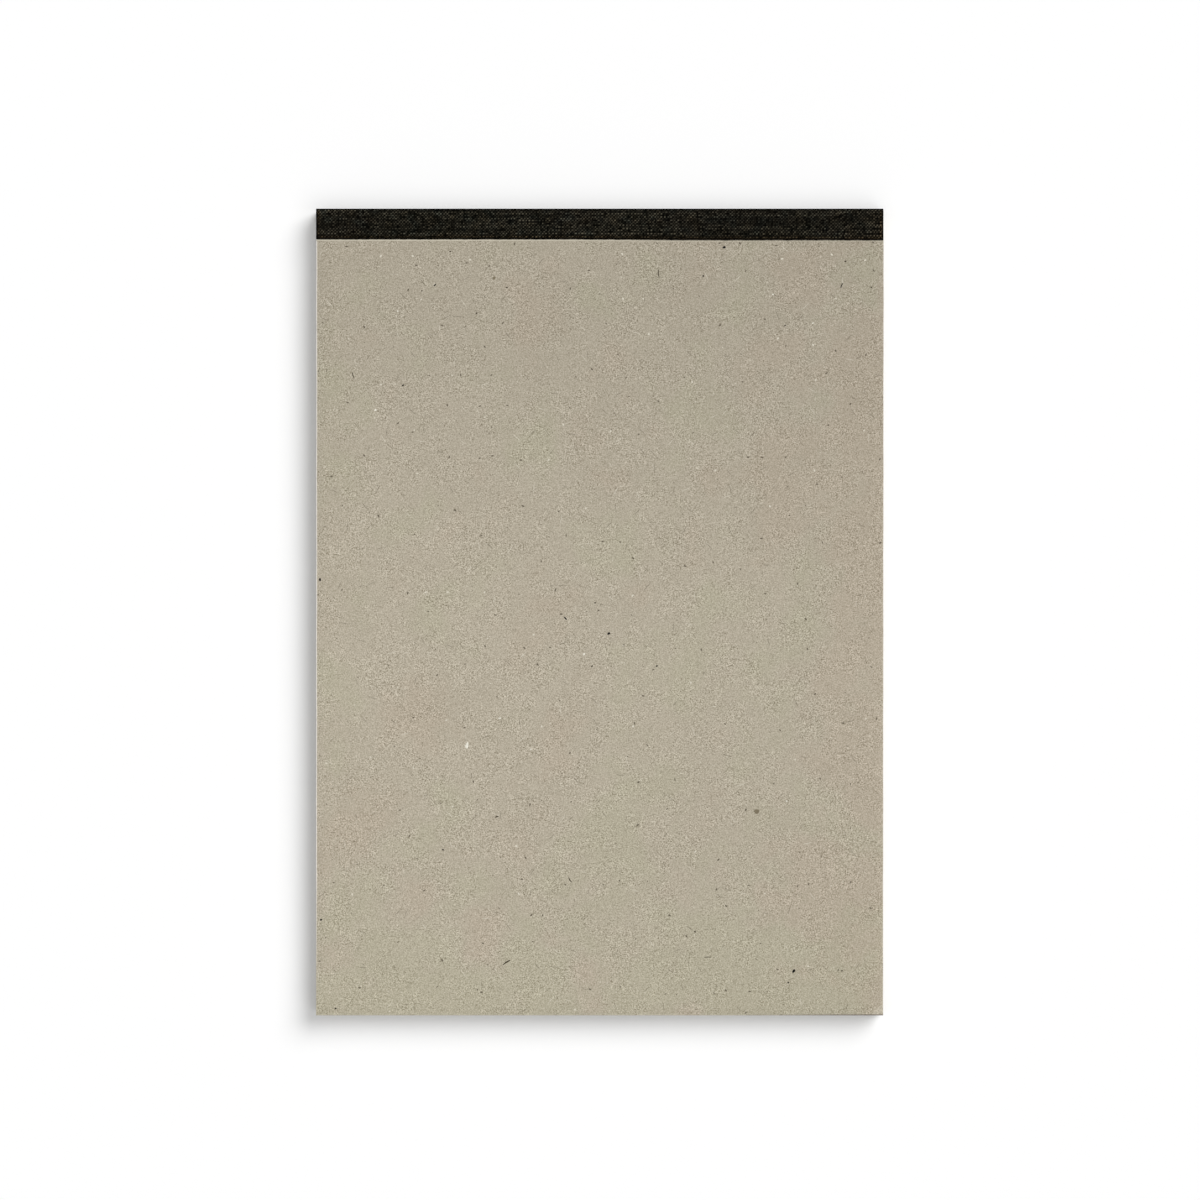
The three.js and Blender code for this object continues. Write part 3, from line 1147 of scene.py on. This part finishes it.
    def strip(self, name: str, section: Section, width: tuple[float, float], slanted: bool) -> Piece:
        """Makes one stretch of the cloth as a closed mesh.

        Args:
            name: the piece's name.
            section: the stretch, seen from its end.
            width: the strip's ends along X.
            slanted: whether the first edge of the section slants.

        Returns:
            The piece.
        """
        xs = np.linspace(*width, round((width[1] - width[0]) / self.yarn * self.samples))
        run, x = np.meshgrid(section.lay, xs, indexing="ij")
        low, tone, weft_up = self.weave(x, run)
        edge, from_fold = run - section.lay[0], section.lay[-1] - run
        if not slanted:
            edge, from_fold = from_fold, edge
        # painted shade: the yarns are darkened towards the fold
        tone = tone * (self.painted_fold_tone + (1 - self.painted_fold_tone) * smooth_step(from_fold, *self.fold_shade))
        one_line = np.zeros_like(x, int)
        fray_rng, pull_rng = (np.random.default_rng(seed) for seed in self.edge_seeds)
        drop = self.fray * yarn_noise(fray_rng, one_line, x, self.fray_length)
        if slanted:
            drop = drop + self.reach.at(x / MM) * MM
        drop = drop * (1 - smooth_step(edge, 0, self.fray_depth))
        pulled = np.abs(self.pulled * yarn_noise(pull_rng, one_line, run, self.pulled_length))
        pulled = pulled * smooth_step(np.abs(x), abs(width[1]) - self.pulled_depth, abs(width[1]))
        y, z = (section.outer[:, k, None] - section.outward[:, k, None] * low for k in (0, 1))
        over = np.stack([x - np.sign(x) * pulled, y - drop, z], axis=-1).reshape(-1, 3)
        back_y, back_z = (np.broadcast_to(section.inner[:, k, None], x.shape) for k in (0, 1))
        under = np.stack([x, back_y - drop, back_z], axis=-1).reshape(-1, 3)
        kept, backs = self.coarse_back(section, len(xs))
        rim, quads = np.array(rim_of(*x.shape)), grid_faces(*x.shape)
        behind = x.size + np.arange(len(rim))  # the back starts with its rim
        walls = np.stack([np.roll(rim, -1), rim, behind, np.roll(behind, -1)], axis=1)
        faces = quads.tolist() + walls.tolist() + backs
        piece = new_piece(name, np.concatenate([over, under[kept]]), faces)
        piece.data.polygons.foreach_set("use_smooth", np.arange(len(faces)) < len(quads))
        rim_mm = np.minimum(np.minimum(x - width[0], width[1] - x), edge) / MM
        for label, numbers in (("yarn_tone", tone), ("weft_up", weft_up), ("rim_mm", rim_mm)):
            add_numbers(piece, label, np.append(numbers, numbers.ravel()[kept]))
        places = np.stack([x, run], axis=-1).reshape(-1, 2) / MM
        add_uv(piece, "cloth_lay", np.concatenate([places, places[kept]]))
        return piece

    def build(self) -> list[Piece]:
        """Builds the flap on the cover, and the cloth over the head and under the back board.

        Returns:
            The two pieces.
        """
        flap_low, flap_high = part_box(self.flap_node)
        low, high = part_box(self.spine_node)
        pitch = self.yarn / self.samples
        thick, head, top = flap_high.z - flap_low.z, high.y, high.z
        on_cover = Section.along([(flap_low.y, top), (flap_high.y, top)], thick, pitch)
        on_cover.shape_fold(self.fold_rounding, at_end=True)
        flap = self.strip("cloth_on_cover", on_cover, (flap_low.x, flap_high.x), slanted=True)
        round_head = Section.along([(head, top), (head, low.z), (low.y, low.z)], thick, pitch)
        round_head.shape_fold(self.fold_rounding, at_end=False)
        round_head.lay += on_cover.lay[-1]
        return [flap, self.strip("cloth_over_head", round_head, (low.x, high.x), slanted=False)]

    def dress(self, pieces: list[Piece]) -> None:
        """Args:
            pieces: the flap and the rest.
        """
        finish = ClothFinish().material()
        nodes = (self.flap_node, self.spine_node)
        for piece, node, body in zip(pieces, nodes, (Body.COVER, Body.BLOCK), strict=True):
            hand_over(piece, [finish], Slot.CLOTH, node, body)


@dataclass
class PaddingGlue:
    """The film of glue on the sheets' head edges, brushed on and a little uneven."""

    node: str = "padding_glue"
    strokes: int = 14  # of the brush, one above the other, with a row of points to each
    columns: int = 150
    swell: float = 4 * MM  # how far along a stroke it changes
    thinner: float = 0.15  # by what share it is thinner than its node, and by what share that changes
    short: float = 0.05 * MM  # how far from the sheets' sides it ends at least
    shorter_mm: float = 0.2  # how much further at most
    ragged: float = 1 * MM  # how far up its ends that changes
    seed: int = 31

    def build(self) -> Piece:
        """Builds the film, which is uneven on its outside and at its ends.

        Returns:
            The piece.
        """
        low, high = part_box(self.node)
        rng = np.random.default_rng(self.seed)
        xs, zs = np.linspace(low.x, high.x, self.columns), np.linspace(low.z, high.z, self.strokes)
        z, x = np.meshgrid(zs, xs, indexing="ij")
        stroke = np.indices(z.shape)[0]
        thinner = self.thinner + self.thinner * yarn_noise(rng, stroke, x, self.swell)
        outer_y = high.y - thinner * (high.y - low.y)
        ragged = np.abs(yarn_noise(rng, np.zeros_like(stroke), z, self.ragged))
        end = ragged * self.shorter_mm * MM + self.short
        x = x + end * (1 - 2 * (x - low.x) / (high.x - low.x))
        outer, inner = (np.stack([x, y, z], axis=-1) for y in (outer_y, np.full_like(x, low.y)))
        piece, in_wall = closed_piece("glue_film", outer, inner)
        piece.data.polygons.foreach_set("use_smooth", np.ones_like(in_wall))
        return piece

    def dress(self, piece: Piece) -> None:
        """Gives the film its finish and its place in the pad."""
        hand_over(piece, [GlueFinish().material()], Slot.GLUE, self.node, Body.BLOCK)


# The studio


@dataclass(frozen=True)
class Sun:
    """A broad soft sun, which lights the floor evenly. Only the way that it shines counts."""

    name: str
    strength: float
    comes_from: tuple[float, float, float]
    width: float = math.radians(40)

    def hang(self) -> None:
        """Hangs it up."""
        data = bpy.data.lights.new(self.name, "SUN")
        data.energy, data.angle = self.strength, self.width
        lamp = bpy.data.objects.new(self.name, data)
        way = Vector(self.comes_from).normalized()
        lamp.location = way * 2
        lamp.rotation_euler = way.to_track_quat("Z", "Y").to_euler()
        bpy.context.scene.collection.objects.link(lamp)


@dataclass
class Studio:
    """A pale floor, three soft suns, a pale sky and a camera straight above.

    The main sun is up and to the right. The faint ones on the left and by the foot soften its shadow.
    """

    frame_width: float = 313.0 * MM  # what the camera sees of the cover's plane
    centre_x: float = 0.08 * MM
    centre_y: float = 3.15 * MM
    lens: float = 120.0  # in millimetres, as a camera has it
    sky: float = 0.235
    bounces: int = 10  # light reaches the inside of the fanned sheets only from sheet to sheet
    suns: tuple[Sun, ...] = (
        Sun("soft_sun", 2.36, (5.6, 5.2, 7.8)),
        Sun("faint_left_sun", 0.4, (-4.5, -0.5, 8.0)),
        Sun("faint_foot_sun", 0.45, (4.0, -3.6, 8.0)),
    )
    floor_half: float = 3.0
    floor_gap: float = 0.01 * MM  # under the pad, so that the two faces aren't in one plane
    floor_grey: float = 0.8  # how much light it throws back at the pad
    floor_glow: float = 0.11  # how much of the floor's white is there in the deepest shadow too

    def camera(self) -> None:
        """Hangs the camera over the pad."""
        data = bpy.data.cameras.new("camera")
        data.lens = self.lens
        camera = bpy.data.objects.new("camera", data)
        distance = self.frame_width * data.lens / data.sensor_width
        camera.location = (self.centre_x, self.centre_y, cad_high.z + distance)
        bpy.context.scene.collection.objects.link(camera)
        bpy.context.scene.camera = camera

    def seen_apart(self, bench: Bench, unseen: Socket, seen: Socket) -> Socket:
        """Shows one shader to the camera, mirrors and glass, and another to the rays that light the pad.

        Args:
            bench: where the nodes go.
            unseen: what lights the pad.
            seen: what is seen behind it.

        Returns:
            The two shaders in one.
        """
        rays = bench.add("LightPath", {})
        shiny = bench.maths("MAXIMUM", rays["Is Glossy Ray"], rays["Is Transmission Ray"])
        direct = bench.maths("MAXIMUM", rays["Is Camera Ray"], shiny)
        return bench.add("MixShader", {0: direct, 1: unseen, 2: seen})[0]

    def world(self) -> None:
        """Makes the sky: plain pale light, and white where it is seen."""
        world = bpy.data.worlds.new("sky")
        world.use_nodes = True
        bench = Bench(world.node_tree)
        light, white = (bench.add("Background", {"Color": (1, 1, 1, 1), "Strength": strength})[0]
                        for strength in (self.sky, 1.0))
        bench.add("OutputWorld", {0: self.seen_apart(bench, light, white)})
        bpy.context.scene.world = world

    def floor(self) -> None:
        """Lays the floor that the pad rests on."""
        half, level = self.floor_half, cad_low.z - self.floor_gap
        corners = [(-half, -half, level), (half, -half, level), (half, half, level), (-half, half, level)]
        floor = new_piece("floor", np.array(corners), [[0, 1, 2, 3]])
        made = bpy.data.materials.new("pale_floor")
        made.use_nodes = True
        bench = Bench(made.node_tree)
        unseen, shaded = (bench.add("BsdfDiffuse", {"Color": (grey, grey, grey, 1)})[0]
                          for grey in (self.floor_grey, 1.0))
        glow = bench.add("Emission", {"Color": (1.0, 1.0, 1.0, 1), "Strength": 1.0})[0]
        seen = bench.add("MixShader", {0: self.floor_glow, 1: shaded, 2: glow})[0]
        bench.add("OutputMaterial", {0: self.seen_apart(bench, unseen, seen)})
        floor.data.materials.append(made)

    def build(self) -> None:
        """Sets up all of it."""
        bpy.context.scene.view_settings.view_transform = "Standard"
        bpy.context.scene.cycles.diffuse_bounces = self.bounces
        self.camera()
        self.world()
        self.floor()
        for sun in self.suns:
            sun.hang()
        log.info("studio is set")


def main() -> None:
    """Builds the studio and the pad, from the floor up."""
    logging.basicConfig(level=logging.INFO, format="%(name)s: %(message)s")
    Studio().build()
    for build_effect in (build_pulp, build_bits, build_ruling, build_rim_wear):
        build_effect()
    back_face = BoardFinish("back_board_face", linear(172, 164, 147))
    back_edge = BoardFinish("back_board_edge", linear(158, 149, 132), cut_edge=True)
    back = TrimmedBoard("back_board", Body.BLOCK, Slot.BACK, back_face, back_edge, "board_back",
                        rounding=0.1 * MM)
    back.dress(back.build())
    glue = PaddingGlue()
    glue.dress(glue.build())
    sheets = GraphSheets(sorted(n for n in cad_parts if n.startswith("graph_sheet_")))
    sheets.dress(sheets.build())
    cloth = BindingCloth()
    flap_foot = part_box(cloth.flap_node)[0].y / MM
    cloth_edge = Swerve(flap_foot - cloth.reach.left, flap_foot - cloth.reach.right)
    cover_face = BoardFinish("cover_board_face", linear(180, 171, 153), burr_mm=0.2, painted_foot_shade_mm=0.3,
                             cloth_edge=cloth_edge)
    cover_edge = BoardFinish("cover_board_edge", linear(168, 160, 142), cut_edge=True)
    cover = TrimmedBoard("front_cover", Body.COVER, Slot.COVER, cover_face, cover_edge, "board_cover",
                         left_inset=(0.0, 0.08 * MM), right_inset=(0.09 * MM, -0.09 * MM))
    cover.dress(cover.build())
    flecks = CoverFlecks(cover)
    flecks.dress(flecks.build())
    cloth.dress(cloth.build())


if __name__ == "__main__":
    main()
